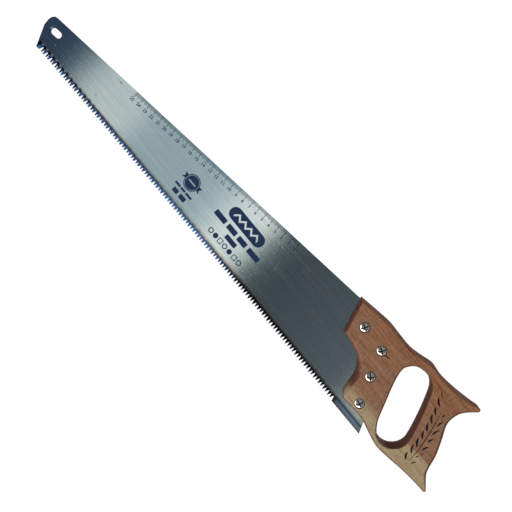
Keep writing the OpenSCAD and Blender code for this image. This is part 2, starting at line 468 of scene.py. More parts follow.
# Heat colours from the tips upwards, as shares of HEAT_HEIGHT, on the teeth near the toe, in the
# middle and near the heel, and on the strip at the heel
HEAT_HEIGHT = 14.0
TOE_HEAT = [
    (0.00, (0.12, 0.30, 0.52)), (0.12, (0.06, 0.18, 0.38)), (0.28, (0.03, 0.08, 0.20)),
    (0.40, (0.03, 0.04, 0.06)), (0.45, (0.10, 0.09, 0.10)), (0.51, (0.62, 0.55, 0.50)),
    (0.58, (0.92, 0.88, 0.84)), (0.68, (1, 1, 1))]
MIDDLE_HEAT = [
    (0.00, (0.12, 0.38, 0.76)), (0.12, (0.08, 0.29, 0.66)), (0.24, (0.04, 0.14, 0.40)),
    (0.30, (0.03, 0.08, 0.24)), (0.35, (0.05, 0.03, 0.05)), (0.39, (0.14, 0.08, 0.08)),
    (0.44, (0.42, 0.30, 0.25)), (0.51, (0.66, 0.56, 0.48)), (0.59, (0.88, 0.82, 0.77)),
    (0.70, (1, 1, 1))]
HEEL_HEAT = [
    (0.00, (0.05, 0.15, 0.38)), (0.12, (0.03, 0.09, 0.28)), (0.26, (0.02, 0.04, 0.14)),
    (0.34, (0.02, 0.02, 0.05)), (0.41, (0.08, 0.06, 0.06)), (0.48, (0.40, 0.30, 0.25)),
    (0.55, (0.72, 0.60, 0.50)), (0.64, (0.92, 0.88, 0.84)), (0.72, (1, 1, 1))]
STRIP_HEAT = [
    (0.00, (0.10, 0.07, 0.16)), (0.05, (0.36, 0.37, 0.52)), (0.18, (0.42, 0.43, 0.54)),
    (0.32, (0.46, 0.52, 0.58)), (0.37, (0.22, 0.47, 0.80)), (0.43, (0.18, 0.40, 0.76)),
    (0.46, (0.06, 0.12, 0.34)), (0.51, (0.12, 0.14, 0.26)), (0.56, (0.55, 0.45, 0.38)),
    (0.66, (0.82, 0.78, 0.70)), (0.74, (1, 1, 1))]


def height_above_tips(t, x, y, along):
    """Height above the wavering line of the tips."""
    bow = t.times(t.times(along, t.minus(1.0, along)), 4 * TIP_BOW)
    tip = t.plus(t.math("MULTIPLY_ADD", along, TOE_DROP + TIP_RISE, -TOE_DROP), bow)
    wander = t.noise(t.node("CombineXYZ", {0: x, 1: 7.0}).outputs[0], 0.18, 2.0, 0.5)
    return t.plus(t.minus(y, tip), t.smooth(wander, 0.2, 0.8, -0.4, 0.4))


def tooth_tint(t, along, height, steep_painted_shade):
    """Tint of the teeth and of the soot above them, darkened on the steep faces as painted shade."""
    share = t.ratio(height, HEAT_HEIGHT)
    toe, middle, heel = (t.ramp(share, heat) for heat in (TOE_HEAT, MIDDLE_HEAT, HEEL_HEAT))
    teeth = t.mix(t.smooth(along, 0.12, 0.34), toe, middle)
    teeth = t.mix(t.smooth(along, 0.52, 0.70), teeth, heel)
    return t.mix(steep_painted_shade, teeth, (0.02, 0.03, 0.07))


def strip_tint(t, x, y):
    """Tint of the untoothed strip at the heel."""
    strip = t.ramp(t.ratio(y, HEAT_HEIGHT), STRIP_HEAT)
    end = t.times(t.smooth(x, -42.0, -50.0), t.smooth(y, 8.5, 6.0))
    return t.mix(end, strip, (0.07, 0.13, 0.20))


def blue_cover(t, x, along, pairs, above_tip, upward):
    """How much bright blue covers the teeth: the real blue oxide, painted as light caught on every other
    tooth near the toe, fewer near the heel, on upward faces only.
    """
    wide_tooth = t.times(t.smooth(x, FIRST_GULLET_X - 0.1, FIRST_GULLET_X - 0.5),
                         t.smooth(x, TOE_X + 0.6, TOE_X + 2.2))
    # Painted light: every other tooth near the toe, and the wide toe tooth, lit bright blue.
    lit_every_other = t.most(t.smooth(pairs, 0.3, 0.0), wide_tooth)
    every = t.most(lit_every_other, t.smooth(along, 0.15, 0.38, 0.0, 0.7))
    blue = t.times(every, t.smooth(above_tip, 6.2, 5.5))
    blue = t.times(blue, t.smooth(upward, 0.3, 0.8))
    return t.times(blue, t.smooth(along, 0.66, 0.52, 0.0, 0.8))


def heat_colours(t, x, y):
    """Tint of the hardened edge, with painted shade on the teeth's steep faces; how much blue oxide covers
    the teeth, painted bright on every other tooth near the toe, and how deep that blue is;
    and how much of a pale band, a painted highlight, lies above every other tooth near the toe."""
    along = t.ratio(t.minus(x, TOE_X), STRIP_X - TOE_X)
    above_tip = height_above_tips(t, x, y, along)
    upward = t.split(t.node("NewGeometry").outputs["Normal"])[2]
    pairs = t.math("SINE", t.times(tooth_count(t, x), math.pi))
    sooty = t.times(pairs, t.smooth(along, 0.05, 0.22, 1.0, 0.2))
    height = t.minus(above_tip, t.times(sooty, t.smooth(above_tip, 4.0, 6.0)))
    # Painted shade on the teeth's steep faces, strongest near the toe and the heel.
    facet_shade_strength = t.most(t.smooth(along, 0.15, 0.35, 0.9, 0.3), t.smooth(along, 0.6, 0.85, 0.3, 0.9))
    low = t.smooth(above_tip, 6.0, 5.0)
    steep_painted_shade = t.times(t.smooth(upward, 0.85, 0.5), t.times(facet_shade_strength, low))
    teeth = tooth_tint(t, along, height, steep_painted_shade)
    tint = t.mix(t.smooth(x, -51.4, -49.4), teeth, strip_tint(t, x, y))
    blue = blue_cover(t, x, along, pairs, above_tip, upward)
    dimmer = t.times(t.smooth(along, 0.05, 0.15), t.smooth(along, 0.45, 0.35, 0.0, 0.5))
    upper = t.times(t.smooth(above_tip, 2.2, 4.6), t.smooth(along, 0.36, 0.44, 0.85, 0.45))
    # Painted highlight: a pale band above every other tooth near the toe.
    band = t.times(t.smooth(above_tip, 6.2, 6.8), t.smooth(above_tip, 8.2, 7.2))
    pale = t.times(t.smooth(pairs, -0.2, -0.8), t.smooth(along, 0.28, 0.1, 0.0, 0.75))
    return tint, blue, t.most(upper, dimmer), t.times(band, pale)


def tooth_count(t, x):
    """How many teeth lie between the first gullet and a place along the saw."""
    inside_root = t.math("MULTIPLY_ADD", t.minus(x, FIRST_GULLET_X), 2 * PITCH_GROWTH, FIRST_PITCH ** 2)
    root = t.math("SQRT", t.most(inside_root, 0.0))
    return t.ratio(t.minus(root, FIRST_PITCH), PITCH_GROWTH)


def edge_share(x):
    """How far a place lies along the teeth, from 0 at the toe to 1 at the strip."""
    return (x - TOE_X) / (STRIP_X - TOE_X)


def tip_y(x):
    s = edge_share(x)
    return -TOE_DROP + (TOE_DROP + TIP_RISE) * s + 4 * TIP_BOW * s * (1 - s)


def tooth_depth(x):
    s = edge_share(x)
    return TOOTH_DEPTH - SHALLOWER * 27 / 4 * s * (1 - s) ** 2


def back_y(x):
    return BACK_AT_TOE + (x - TOE_X) * TAPER


TANG = [(-33, 60), (-44, 84), (-56, 96), (-78, back_y(-78))]


def gullet(k):
    """Place, half width and slant of gullet k. Near the toe every other tooth is broader, and the
    gullets are wider and slant more."""
    share = k / TEETH
    sign = (-1) ** k
    x = FIRST_GULLET_X + k * FIRST_PITCH + PITCH_GROWTH * k * k / 2 + sign * 0.45 * (1 - share)
    return x, max(0.22, 0.65 - 1.8 * share), sign * (0.45 - 0.25 * share)


def hang_slot_loop():
    """Clockwise, so that the steel is on its left."""
    radius = SLOT_WIDTH / 2
    angles = np.linspace(math.pi / 2, -math.pi / 2, 17)
    right = np.stack([SLOT_LENGTH / 2 - radius + radius * np.cos(angles), radius * np.sin(angles)], axis=1)
    loop = np.concatenate([right, -right])
    return np.array(HANG_SLOT) + loop[:, :1] * ALONG_BACK - loop[:, 1:] * INWARD


def rim(top, bottom, chamfer, skipped=()):
    """Chamfered wall round a closed loop that has its material on the left.
    Gives the points, the faces, and the loops at the top and the bottom face."""
    n = len(top)
    chamfer = np.broadcast_to(chamfer, n)[:, None]
    top_in = top - mitres(top) * chamfer
    bottom_in = bottom - mitres(bottom) * chamfer
    points = np.concatenate([
        level(top_in, Z_TOP), level(top, Z_TOP - chamfer[:, 0]),
        level(bottom, Z_BOTTOM + chamfer[:, 0]), level(bottom_in, Z_BOTTOM)])
    faces = []
    for i in range(n):
        if i in skipped:
            continue
        j = (i + 1) % n
        for k in range(3):
            faces.append((k * n + i, (k + 1) * n + i, (k + 1) * n + j, k * n + j))
    return points, faces, top_in, bottom_in


def toothed_outline():
    """Outline along the gullets as x, y, the upper face's shift in x and y, and the chamfer;
    and the index of each tooth's base edge."""
    rows = [(TOE_X, -TOE_DROP, 0, 0, 0.1), (TOE_X + 1.0, 0.15 - TOE_DROP, 0, 0.15, 0),
            (TOE_X + TOE_FLAT - 0.4, 0.15 - TOE_DROP, 0.4, 0.15, 0)]
    bases = []
    for k in range(TEETH + 1):
        x, half, shift = gullet(k)
        y = tip_y(x) + tooth_depth(x)
        for offset, lift in ((-1, 0), (-0.5, 0.15), (0.5, 0.15), (1, 0)):
            rows.append((x + offset * half, y + lift, shift, 0, 0))
        if k < TEETH:
            bases.append(len(rows) - 1)
    toe_corner = (TOE_X - 12, 22)
    toe_top = (TOE_CURVE_END, back_y(TOE_CURVE_END))
    toe = smooth_run(
        [toe_corner, (TOE_X - 13, 30), (TOE_X - 12, 34.6), (TOE_X - 9.6, 37.4), toe_top], 1.2)
    corners = [(STRIP_X, 0), (0, 0), (-HEEL_TOP * HEEL_LEAN, HEEL_TOP), (-16, 32), *TANG, toe_top,
               *toe[:0:-1], toe_corner]
    rows += [(x, y, 0, 0, 0.1) for x, y in corners]
    return np.array(rows), bases


def tooth_parts(rows, bases):
    """One set tooth on each base edge: a broad face with a blunt tip on the side that it is set to,
    narrowing to a point on the other side."""
    parts = []
    for i in bases:
        left, right = rows[i], rows[i + 1]
        side = 1 if right[2] > 0 else -1
        near, far = (Z_TOP, Z_BOTTOM) if side > 0 else (Z_BOTTOM, Z_TOP)
        middle = (left[0] + right[0]) / 2
        blunt = 0.85 - 0.5 * edge_share(middle)
        tip = tip_y(middle)
        slant = abs(left[2])
        points = [
            (left[0] - slant, left[1], near), (right[0] + slant, right[1], near),
            (middle + blunt, tip + 0.2, near + TOOTH_SET * side),
            (middle - blunt, tip, near + TOOTH_SET * side),
            (left[0] + slant, left[1], far), (right[0] - slant, right[1], far),
            (middle, tip + 0.5, far + TOOTH_SET * side)]
        faces = [(0, 3, 2, 1), (4, 5, 6), (0, 4, 6, 3), (1, 2, 6, 5), (2, 3, 6)]
        parts.append((points, [f[::side] for f in faces]))
    return parts


def build_blade():
    rows, bases = toothed_outline()
    shift = rows[:, 2:4]
    outer = rim(rows[:, :2] + shift, rows[:, :2] - shift, rows[:, 4], set(bases))
    slot = hang_slot_loop()
    rims = [outer, rim(slot, slot, 0.12)]
    for x, y in SCREW_AT:
        hole = circle(x, y, BLADE_HOLE, 40, clockwise=True)
        rims.append(rim(hole, hole, 0.05))
    parts = [(points, faces) for points, faces, _, _ in rims]
    _, _, top, bottom = zip(*rims)
    parts.append((level(np.concatenate(top), Z_TOP), triangles(top)))
    parts.append((level(np.concatenate(bottom), Z_BOTTOM), [f[::-1] for f in triangles(bottom)]))
    parts += tooth_parts(rows, bases)
    blade = add_mesh("saw_blade", *join_parts(parts), [steel_material()], crease=20)
    plan_uv(blade)
    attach(blade, "root")
    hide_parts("blade")


# ---- handle

OUTER_ROUND = 3.2
HOLE_ROUND = 1.8
ROUND_STEPS = 8
# Where the outer rounding widens or narrows: the cheek's hollow and the two horns
ROUND_CHANGES = [((-59, 42), 34, 3.6), ((57.5, 121), 18, -1.7), ((93, 17.5), 16, -1.4)]
# The underside rises towards the tip of the upper horn
UPPER_HORN = (57.5, 121)
HORN_REACH = 18
HORN_LIFT = 8
KERF_PLAY = 0.8
BORE = 3.8
HEAD_BORE = 5.7
HEAD_SEAT = WOOD_TOP - 1.8
NUT_BORE = 6.3
NUT_SEAT = 2.5


def outer_width(points):
    """Width of the outer edge's rounding at each point."""
    width = np.full(len(points), OUTER_ROUND)
    for centre, reach, change in ROUND_CHANGES:
        away = np.linalg.norm(points - np.array(centre), axis=1) / reach
        width += change * np.clip(1 - away ** 2, 0, 1) ** 2
    return width


def edge_profile():
    """Inset and drop, as shares of its width, of an edge worn halfway between a bevel and a round."""
    turn = np.linspace(0, math.pi / 2, ROUND_STEPS + 1)
    share = np.linspace(0, 1, ROUND_STEPS + 1)
    inset = ((1 - np.cos(turn)) + share) / 2
    drop = ((1 - np.sin(turn)) + (1 - share)) / 2
    return inset, drop


def drop_at(distance, width):
    """Drop of the surface at a distance from the edge; wide edges are flatter."""
    inset, drop = edge_profile()
    height = np.minimum(width, 0.6 * width + 0.4 * OUTER_ROUND)
    return height * np.interp(distance / width, inset, drop)


def inset_points(loop, width, loops):
    """Points on rings inside the loop's edge, and on the ridge where a horn is too thin for them."""
    inward = -mitres(loop)
    length = np.linalg.norm(inward, axis=1)
    kept, ridge = [], []
    thin = np.zeros(len(loop), bool)
    for share in np.append(edge_profile()[0][1:], 1.12):
        inset = width * share
        ring = loop + inward * inset[:, None]
        nearest = np.minimum(distance_to(ring, loops[0]), distance_to(ring, loops[1]))
        good = (nearest > inset * 0.97) & ~thin
        kept.append(ring[good])
        thin |= ~good
    low, high = np.zeros(len(loop)), width.copy()
    for _ in range(12):
        middle = (low + high) / 2
        ring = loop + inward * middle[:, None]
        fits = distance_to(ring, loop) > middle * 0.97
        low, high = np.where(fits, middle, low), np.where(fits, high, middle)
    for p, is_thin in zip(loop + inward * low[:, None], thin & (length < 1.3)):
        if is_thin and all(np.linalg.norm(p - q) > 0.5 for q in ridge):
            ridge.append(p)
    return np.concatenate(kept + ([np.array(ridge)] if ridge else []))


def wood_blank():
    """Points and faces of the handle with its rounded edges, before the cuts."""
    outline = np.concatenate([
        even(FRONT_EDGE, 1.2), smooth_run(CHEEK_HOLLOW, 1.2), smooth_run(LOWER_EDGE, 1.2),
        smooth_run(REAR_EDGE, 1.0), smooth_run(TOP_EDGE, 1.2)])
    outline = softened(outline, FRONT_EDGE, 2)
    hole = smooth_run(HAND_HOLE, 1.2, closed=True)
    loops = [outline, hole]
    free = np.concatenate([
        inset_points(outline, outer_width(outline), loops),
        inset_points(hole, np.full(len(hole), HOLE_ROUND), loops)])
    flat = np.concatenate([outline, hole, free])
    edges = []
    start = 0
    for loop in loops:
        n = len(loop)
        edges += [(start + i, start + (i + 1) % n) for i in range(n)]
        start += n
    found = delaunay_2d_cdt([Vector(p) for p in flat.tolist()], edges, [], 0, 1e-5, True)
    plan = np.array([tuple(v) for v in found[0]])
    home = {source: i for i, sources in enumerate(found[3]) for source in sources}
    faces = np.array(found[2])
    centre = plan[faces].mean(axis=1)
    faces = faces[inside(centre, outline) & ~inside(centre, hole)]
    drop = np.maximum(drop_at(distance_to(plan, outline), outer_width(plan)),
                      drop_at(distance_to(plan, hole), HOLE_ROUND))
    n = len(plan)
    away = np.linalg.norm(plan - np.array(UPPER_HORN), axis=1) / HORN_REACH
    lift = HORN_LIFT * np.clip(1 - away ** 2, 0, 1) ** 2
    points = np.concatenate([level(plan, WOOD_TOP - drop), level(plan, drop + lift)])
    sides = [(home[a], home[a] + n, home[b] + n, home[b]) for a, b in edges]
    a, b, c = (plan[faces[:, k]] for k in range(3))
    turn = (b[:, 0] - a[:, 0]) * (c[:, 1] - a[:, 1]) - (b[:, 1] - a[:, 1]) * (c[:, 0] - a[:, 0])
    faces = [tuple(f) if up > 0 else tuple(f[::-1]) for f, up in zip(faces.tolist(), turn)]
    under = [tuple(i + n for i in f[::-1]) for f in faces]
    return points, faces + under + sides


def prism(loop, low, high):
    n = len(loop)
    caps = triangles([loop])
    points = np.concatenate([level(loop, low), level(loop, high)])
    faces = [f[::-1] for f in caps] + [tuple(i + n for i in f) for f in caps]
    faces += [(i, (i + 1) % n, n + (i + 1) % n, n + i) for i in range(n)]
    return points, faces


def kerf_cutter():
    """Slot round the blade's heel and tang, with some play behind them."""
    front, rear, low = -140, 12, -4
    heel = (rear - KERF_PLAY - HEEL_TOP * HEEL_LEAN, HEEL_TOP + KERF_PLAY)
    tang = [(x + KERF_PLAY, y + KERF_PLAY) for x, y in TANG]
    loop = [(front, low), (rear, low), heel, (-15, 32 + KERF_PLAY), *tang,
            (front, back_y(front) + KERF_PLAY)]
    return prism(np.array(loop, float), Z_BOTTOM - 0.1, Z_TOP + 0.1)


def bore_cutters():
    """Stepped bores: a counterbore for each head, one for each nut, and the sleeve's hole."""
    parts = []
    profile = [(NUT_BORE + 1.4, -1), (NUT_BORE, 0.4), (NUT_BORE, NUT_SEAT), (BORE, NUT_SEAT),
               (BORE, HEAD_SEAT), (HEAD_BORE, HEAD_SEAT), (HEAD_BORE, WOOD_TOP - 0.35),
               (HEAD_BORE + 1.35, WOOD_TOP + 1)]
    for x, y in SCREW_AT:
        parts.append(skin([level(circle(x, y, r, 64), z) for r, z in profile]))
    return join_parts(parts)


def groove(path, width, depth):
    """V-shaped cutter along a path, its keel rising out of the wood at both ends."""
    path = np.array(path, float)
    along = np.gradient(path, axis=0)
    along /= np.linalg.norm(along, axis=1, keepdims=True)
    across = np.stack([-along[:, 1], along[:, 0]], axis=1)
    share = np.linspace(-1.06, 1.06, len(path))
    keel = WOOD_TOP - depth * (1 - np.abs(share) ** 2.6)
    lid = WOOD_TOP + 0.5
    half = ((lid - keel) * width / 2 / depth)[:, None]
    rings = [np.array([(*k, kz), (*r, lid), (*l, lid)]) for k, kz, r, l in zip(
        path, keel, path + across * half, path - across * half)]
    return skin(rings)


def leaf(a, b, width, depth):
    a, b = np.array(a, float), np.array(b, float)
    share = np.linspace(-0.14, 1.14, 13)[:, None]
    bend = np.array([b[1] - a[1], a[0] - b[0]]) * 0.06
    return groove(a + (b - a) * share + bend * np.sin(math.pi * share), width, depth)


LEFT_LEAVES = [
    ((19, 96.3), (27.3, 91.3)), ((25.2, 87), (31.8, 82)), ((29.3, 79.2), (36.6, 72.4)),
    ((34, 69.3), (40.5, 63)), ((38, 60), (44.2, 53.3)), ((40.5, 51), (47.3, 43)),
    ((43, 41.5), (49.5, 33.5)), ((45.5, 31), (50.8, 24.3))]
RIGHT_LEAVES = [
    ((43.2, 83), (42.9, 75.5)), ((47.7, 73.5), (47.3, 65.5)), ((51.8, 63), (51, 55.5)),
    ((55.5, 52.7), (54, 45))]
FAINT_LEAVES = [
    ((15.5, 103), (21.5, 100.5)), ((38.3, 90), (38.8, 85.5)), ((58, 43.5), (57.3, 40.5)),
    ((57, 38), (56, 34.5)), ((60.5, 31.5), (58.5, 26))]
STEM = [(32, 91), (35.5, 84), (40, 74), (44.5, 62), (48.5, 51), (51.5, 42), (53.5, 31), (55, 22.5)]


def carving_cutters():
    """Cutters for the painted leaves, the bare cuts and two chips, and each face's material index."""
    groups = [
        [leaf(a, b, 2.4, 0.8) for a, b in LEFT_LEAVES] + [leaf(a, b, 1.8, 0.6) for a, b in RIGHT_LEAVES],
        [leaf(a, b, 1.3, 0.45) for a, b in FAINT_LEAVES] + [groove(STEM, 1.1, 0.4)],
        [leaf((-56.4, 82.0), (-48.8, 82.6), 3.2, 0.9), leaf((-51.2, 55.8), (-49.6, 55.2), 0.9, 0.4)]]
    index = [i + 1 for i, group in enumerate(groups) for part in group for _ in part[1]]
    return *join_parts([part for group in groups for part in group]), index


def wood_material():
    """Stained, thinly varnished hardwood with grain along x, duller on its sides."""
    material, t = new_material("handle_wood")
    place = t.heel_mm()
    colour, height = wood_pattern(t, place)
    upward = t.split(t.node("NewGeometry").outputs["Normal"])[2]
    sides = t.smooth(upward, 0.75, 0.3)
    roughness = t.most(t.smooth(height, 0.2, 0.8, 0.6, 0.44), sides)
    t.surface(Base_Color=colour, Roughness=roughness, Specular_IOR_Level=0.1,
              Normal=t.bump(height, 0.00012, 0.6))
    return material


def wood_pattern(t, place):
    """Colour and relief of the wood: dark heart, pale sapwood below, dark end grain, and painted shade on
    the rounded edges and sides.
    """
    x, y, _ = t.split(place)
    sway = t.noise(place, (0.012, 0.02, 0.02), 2.0, 0.5)
    bent = t.vector("ADD", place, t.node("CombineXYZ", {1: t.smooth(sway, 0, 1, -3, 3)}).outputs[0])
    figure = t.noise(bent, (0.007, 0.4, 0.4), 4.0, 0.75)
    fibre = t.noise(bent, (0.03, 0.75, 0.75), 3.0, 0.75)
    pores = t.noise(bent, (0.20, 2.4, 2.4), 1.0, 0.5)
    flecks = t.noise(place, (0.55, 0.07, 0.2), 3.0, 0.7)
    cloud = t.noise(place, (0.03, 0.05, 0.05), 2.0, 0.5)
    heart = t.ramp(figure, [
        (0.28, srgb(116, 67, 42)), (0.43, srgb(145, 94, 63)), (0.55, srgb(155, 109, 78)),
        (0.72, srgb(168, 128, 99))])
    heart = t.mix(t.smooth(cloud, 0.45, 0.7, 0.0, 0.5), heart, srgb(138, 106, 84))
    heart = t.mix(t.smooth(y, 100, 60, 0.0, 0.28), heart, srgb(150, 119, 100))
    sap = t.ramp(figure, [
        (0.25, srgb(167, 140, 105)), (0.50, srgb(182, 158, 124)), (0.75, srgb(192, 172, 141))])
    edge = t.smooth(x, -20, 45, 30.0, 40.0)
    reach = t.minus(edge, t.plus(y, t.smooth(sway, 0.2, 0.8, -2.5, 2.5)))
    softness = t.smooth(x, 5, 45, 7.0, 1.2)
    share = t.smooth(t.ratio(reach, softness), -1.0, 1.0)
    colour = t.mix(share, heart, sap)
    dark = t.mix(1.0, colour, (0.54, 0.42, 0.38), "MULTIPLY")
    pale = t.mix(1.0, colour, (1.40, 1.60, 1.70), "MULTIPLY")
    colour = t.mix(t.smooth(fibre, 0.50, 0.66, 0.0, 0.62), colour, dark)
    colour = t.mix(t.smooth(fibre, 0.48, 0.34, 0.0, 0.55), colour, pale)
    rays = t.times(t.smooth(flecks, 0.48, 0.64, 0.0, 0.5), t.smooth(cloud, 0.35, 0.6, 0.4))
    colour = t.mix(rays, colour, srgb(168, 136, 116))
    colour = t.mix(t.smooth(pores, 0.60, 0.70, 0.0, 0.5), colour, srgb(74, 42, 30))
    normal_x, normal_y, normal_z = t.split(t.node("NewGeometry").outputs["Normal"])
    # Painted shade: sloped faces darker, faces turned to -y darker still, and faces turned to +y a dull
    # grey-purple painted reflection.
    colour = t.mix(t.smooth(normal_z, 0.93, 0.35, 0.0, 0.5), colour, srgb(92, 48, 34))
    colour = t.mix(t.smooth(normal_y, -0.15, -0.75, 0.0, 0.7), colour, srgb(70, 38, 26))
    colour = t.mix(t.smooth(normal_y, 0.4, 0.95, 0.0, 0.6), colour, srgb(98, 74, 72))
    pale_end = t.times(share, t.smooth(x, -20.0, -35.0))
    end_grain = t.times(t.smooth(t.math("ABSOLUTE", normal_x), 0.12, 0.6, 0.0, 0.93),
                       t.math("MULTIPLY_ADD", pale_end, -0.6, 1.0))
    colour = t.mix(end_grain, colour, srgb(77, 42, 34))
    height = t.minus(fibre, t.smooth(pores, 0.6, 0.75, 0.0, 0.6))
    return colour, height


def paint_material():
    """Worn blue-black paint in the carved leaves, thinner towards the lower corner."""
    material, t = new_material("carved_paint")
    place = t.heel_mm()
    _, y, _ = t.split(place)
    patches = t.noise(place, 0.5, 4.0, 0.65)
    worn = t.plus(t.smooth(patches, 0.45, 0.75, 0.0, 0.35), t.smooth(y, 45, 22, 0.0, 0.15))
    colour = t.mix(worn, srgb(28, 26, 42), srgb(78, 54, 48))
    t.surface(Base_Color=colour, Roughness=0.8, Specular_IOR_Level=0.1, Normal=t.bump(patches, 0.0001, 0.5))
    return material


def scorch_material():
    """Bare brown cuts, where hardly any paint was left."""
    material, t = new_material("carved_brown")
    patches = t.noise(t.heel_mm(), 0.6, 4.0, 0.6)
    colour = t.mix(t.smooth(patches, 0.35, 0.7), srgb(48, 28, 24), srgb(76, 48, 38))
    t.surface(Base_Color=colour, Roughness=0.8, Specular_IOR_Level=0.1, Normal=t.bump(patches, 0.0001, 0.4))
    return material


def fibre_material(name, across, dark, pale, roughness, strength):
    """Bare wood fibres in two tones."""
    material, t = new_material(name)
    fibres = t.noise(t.heel_mm(), (0.3, across, across), 3.0, 0.6)
    colour = t.mix(t.smooth(fibres, 0.3, 0.7), dark, pale)
    t.surface(Base_Color=colour, Roughness=roughness, Normal=t.bump(fibres, 0.0002, strength))
    return material


def chip_material():
    """Torn fibres in the two small chips."""
    return fibre_material("chipped_wood", 3.0, srgb(92, 44, 34), srgb(124, 70, 50), 0.75, 0.6)


def bore_material():
    """Wood inside the bores, painted dark as shade in the recesses."""
    return fibre_material("bore_wood_painted_shade", 2.0, srgb(40, 24, 18), srgb(70, 44, 33), 0.85, 0.5)


def build_handle():
    wood = wood_material()
    cuts = [wood, paint_material(), scorch_material(), chip_material()]
    handle = add_mesh("handle_body", *wood_blank(), [wood], crease=32)
    subtract(handle, add_mesh("kerf", *kerf_cutter(), [wood]))
    subtract(handle, add_mesh("bores", *bore_cutters(), [bore_material()]))
    points, faces, index = carving_cutters()
    subtract(handle, add_mesh("carving", points, faces, cuts, index))
    shade(handle.data, 28)
    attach(handle, "root")
    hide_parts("handle")


# ---- screws and nuts

AROUND = 96
THREAD_PITCH = 0.7
HEAD_RADIUS = 5.4
DOME_RISE = 1.84
RECESS_REACH = 4.6
NUT_RADIUS = 6.0
SLEEVE_TOP = 17.18


def nickel_material():
    """Bright nickel plate with fine wear and dark specks; the recesses take recess_material, dirt and
    painted shade.
    """
    material, t = new_material("nickel_plate")
    place = t.heel_mm()
    wear = t.noise(place, 0.9, 5.0, 0.65)
    speck = t.noise(place, 4.0, 2.0, 0.5)
    colour = t.mix(t.smooth(wear, 0.40, 0.65, 0.0, 0.7), (0.74, 0.72, 0.66), (0.46, 0.43, 0.37))
    colour = t.mix(t.smooth(speck, 0.60, 0.70, 0.0, 0.7), colour, (0.12, 0.10, 0.08))
    t.surface(
        Base_Color=colour, Metallic=1.0, Roughness=t.smooth(wear, 0.3, 0.75, 0.07, 0.22),
        Normal=t.bump(wear, 0.00006, 0.5))
    return material


def ring_at(x, y, radius, z):
    """Ring of AROUND points; radius and z may vary round it."""
    turn = np.linspace(0, 2 * math.pi, AROUND, endpoint=False)
    radius = np.broadcast_to(radius, AROUND)
    z = np.broadcast_to(z, AROUND)
    return np.stack([x + radius * np.cos(turn), y + radius * np.sin(turn), z], axis=1)


def cross_recess(radius, spin):
    """Depth of the cross recess round a ring of the head."""
    turn = np.linspace(0, 2 * math.pi, AROUND, endpoint=False) + spin
    u = np.abs(radius * np.cos(turn))
    v = np.abs(radius * np.sin(turn))
    width = 1.0 - 0.07 * radius
    arm = np.maximum(np.minimum(u, v) - width, np.maximum(u, v) - RECESS_REACH)
    floor = 1.95 - 0.3 * radius
    wall = np.clip(-arm / 0.28, 0, 1)
    return floor * wall * wall * (3 - 2 * wall)


def recess_material():
    """Dull metal in the recesses, near black: dirt and painted shade."""
    material, t = new_material("recess_dirt_and_shade")
    grime = t.noise(t.heel_mm(), 1.5, 3.0, 0.6)
    colour = t.mix(t.smooth(grime, 0.4, 0.7), (0.02, 0.018, 0.015), (0.16, 0.145, 0.12))
    t.surface(Base_Color=colour, Metallic=0.6, Roughness=0.55, Normal=t.bump(grime, 0.0001, 0.5))
    return material


def thread(x, y, high, low, steps, root, height):
    """Rings of a thread from high to low, with that many steps in a turn."""
    turn = np.linspace(0, 1, AROUND, endpoint=False)
    rings = []
    for z in np.arange(high, low, -THREAD_PITCH / steps):
        crest = np.abs(2 * ((z / THREAD_PITCH - turn) % 1.0) - 1)
        rings.append(ring_at(x, y, root + height * crest, z))
    return rings


def build_screw(i, x, y, spin, metals):
    """Domed head with a cross recess, and a threaded shank."""
    edge = HEAD_SEAT + 1.2
    dome = (HEAD_RADIUS ** 2 + DOME_RISE ** 2) / (2 * DOME_RISE)
    rings = []
    sunk = []
    for r in np.concatenate([np.linspace(0.05, RECESS_REACH, 38),
                             np.linspace(RECESS_REACH + 0.15, HEAD_RADIUS - 0.12, 8)]):
        z = edge + DOME_RISE - dome + math.sqrt(dome ** 2 - r ** 2)
        rings.append(ring_at(x, y, r, z - cross_recess(r, spin)))
        sunk.append(cross_recess(r, spin) > 0.2)
    for r, z in ((HEAD_RADIUS, edge - 0.1), (HEAD_RADIUS, HEAD_SEAT + 0.1),
                 (HEAD_RADIUS - 0.1, HEAD_SEAT), (2.2, HEAD_SEAT), (1.98, HEAD_SEAT - 0.2)):
        rings.append(ring_at(x, y, r, z))
    rings += thread(x, y, HEAD_SEAT - 0.5, 5.6, 6, 1.62, 0.36)
    rings += [ring_at(x, y, 1.6, 5.5), ring_at(x, y, 1.2, 5.05)]
    points, faces = skin(rings)
    faces = [f[::-1] for f in faces]
    # Faces in the cross recess take the near-black recess material: dirt and painted shade.
    dirt_and_shade = np.zeros(len(faces), int)
    dirt_and_shade[:AROUND * len(sunk)] = np.concatenate(sunk)
    screw = add_mesh(f"screw_{i}_metal", points, faces, metals, dirt_and_shade, crease=40)
    finish_fastener(screw, f"screw_{i}")


